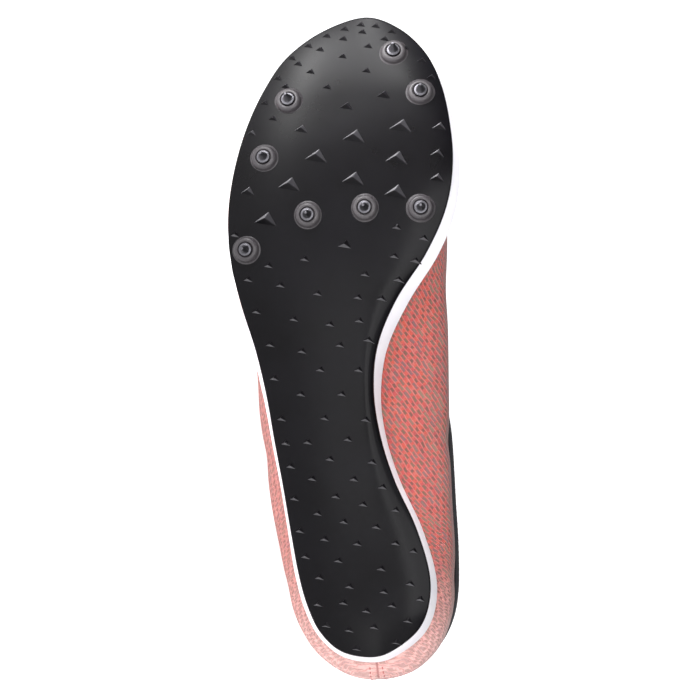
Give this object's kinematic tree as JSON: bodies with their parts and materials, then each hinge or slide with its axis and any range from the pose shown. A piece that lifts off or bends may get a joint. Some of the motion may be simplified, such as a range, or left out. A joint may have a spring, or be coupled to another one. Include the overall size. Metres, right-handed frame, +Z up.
{
  "type": "track spike shoe",
  "caption": "Right-foot running spike: moulded plate with pyramid lugs and steel pins, foam midsole, hollow mesh upper, tongue and lace.",
  "frame": {"origin": "on the floor, under the middle of the shoe's bounding box as it lies on its outer side", "axes": "+Z up, -Y is where the sole faces, +Y is where the ankle opening faces, -X is towards the toe"},
  "size_m": [0.2748, 0.1042, 0.1001],
  "materials": {
    "plate": "satin",
    "steel": "satin",
    "foam": "matte",
    "footbed": "matte",
    "mesh": "matte",
    "eyestay": "matte",
    "collar": "matte",
    "tongue": "matte",
    "lace": "matte"
  },
  "bodies": {
    "root": {"outsole_plate": "plate", "spike_1": "steel", "spike_2": "steel", "spike_3": "steel", "spike_4": "steel", "spike_5": "steel", "spike_6": "steel", "spike_7": "steel", "spike_8": "steel", "midsole": "foam", "insole": "footbed", "upper": "mesh", "eyestay": "eyestay", "collar_band": "collar", "tongue": "tongue", "lace": "lace"}
  },
  "joints": []
}
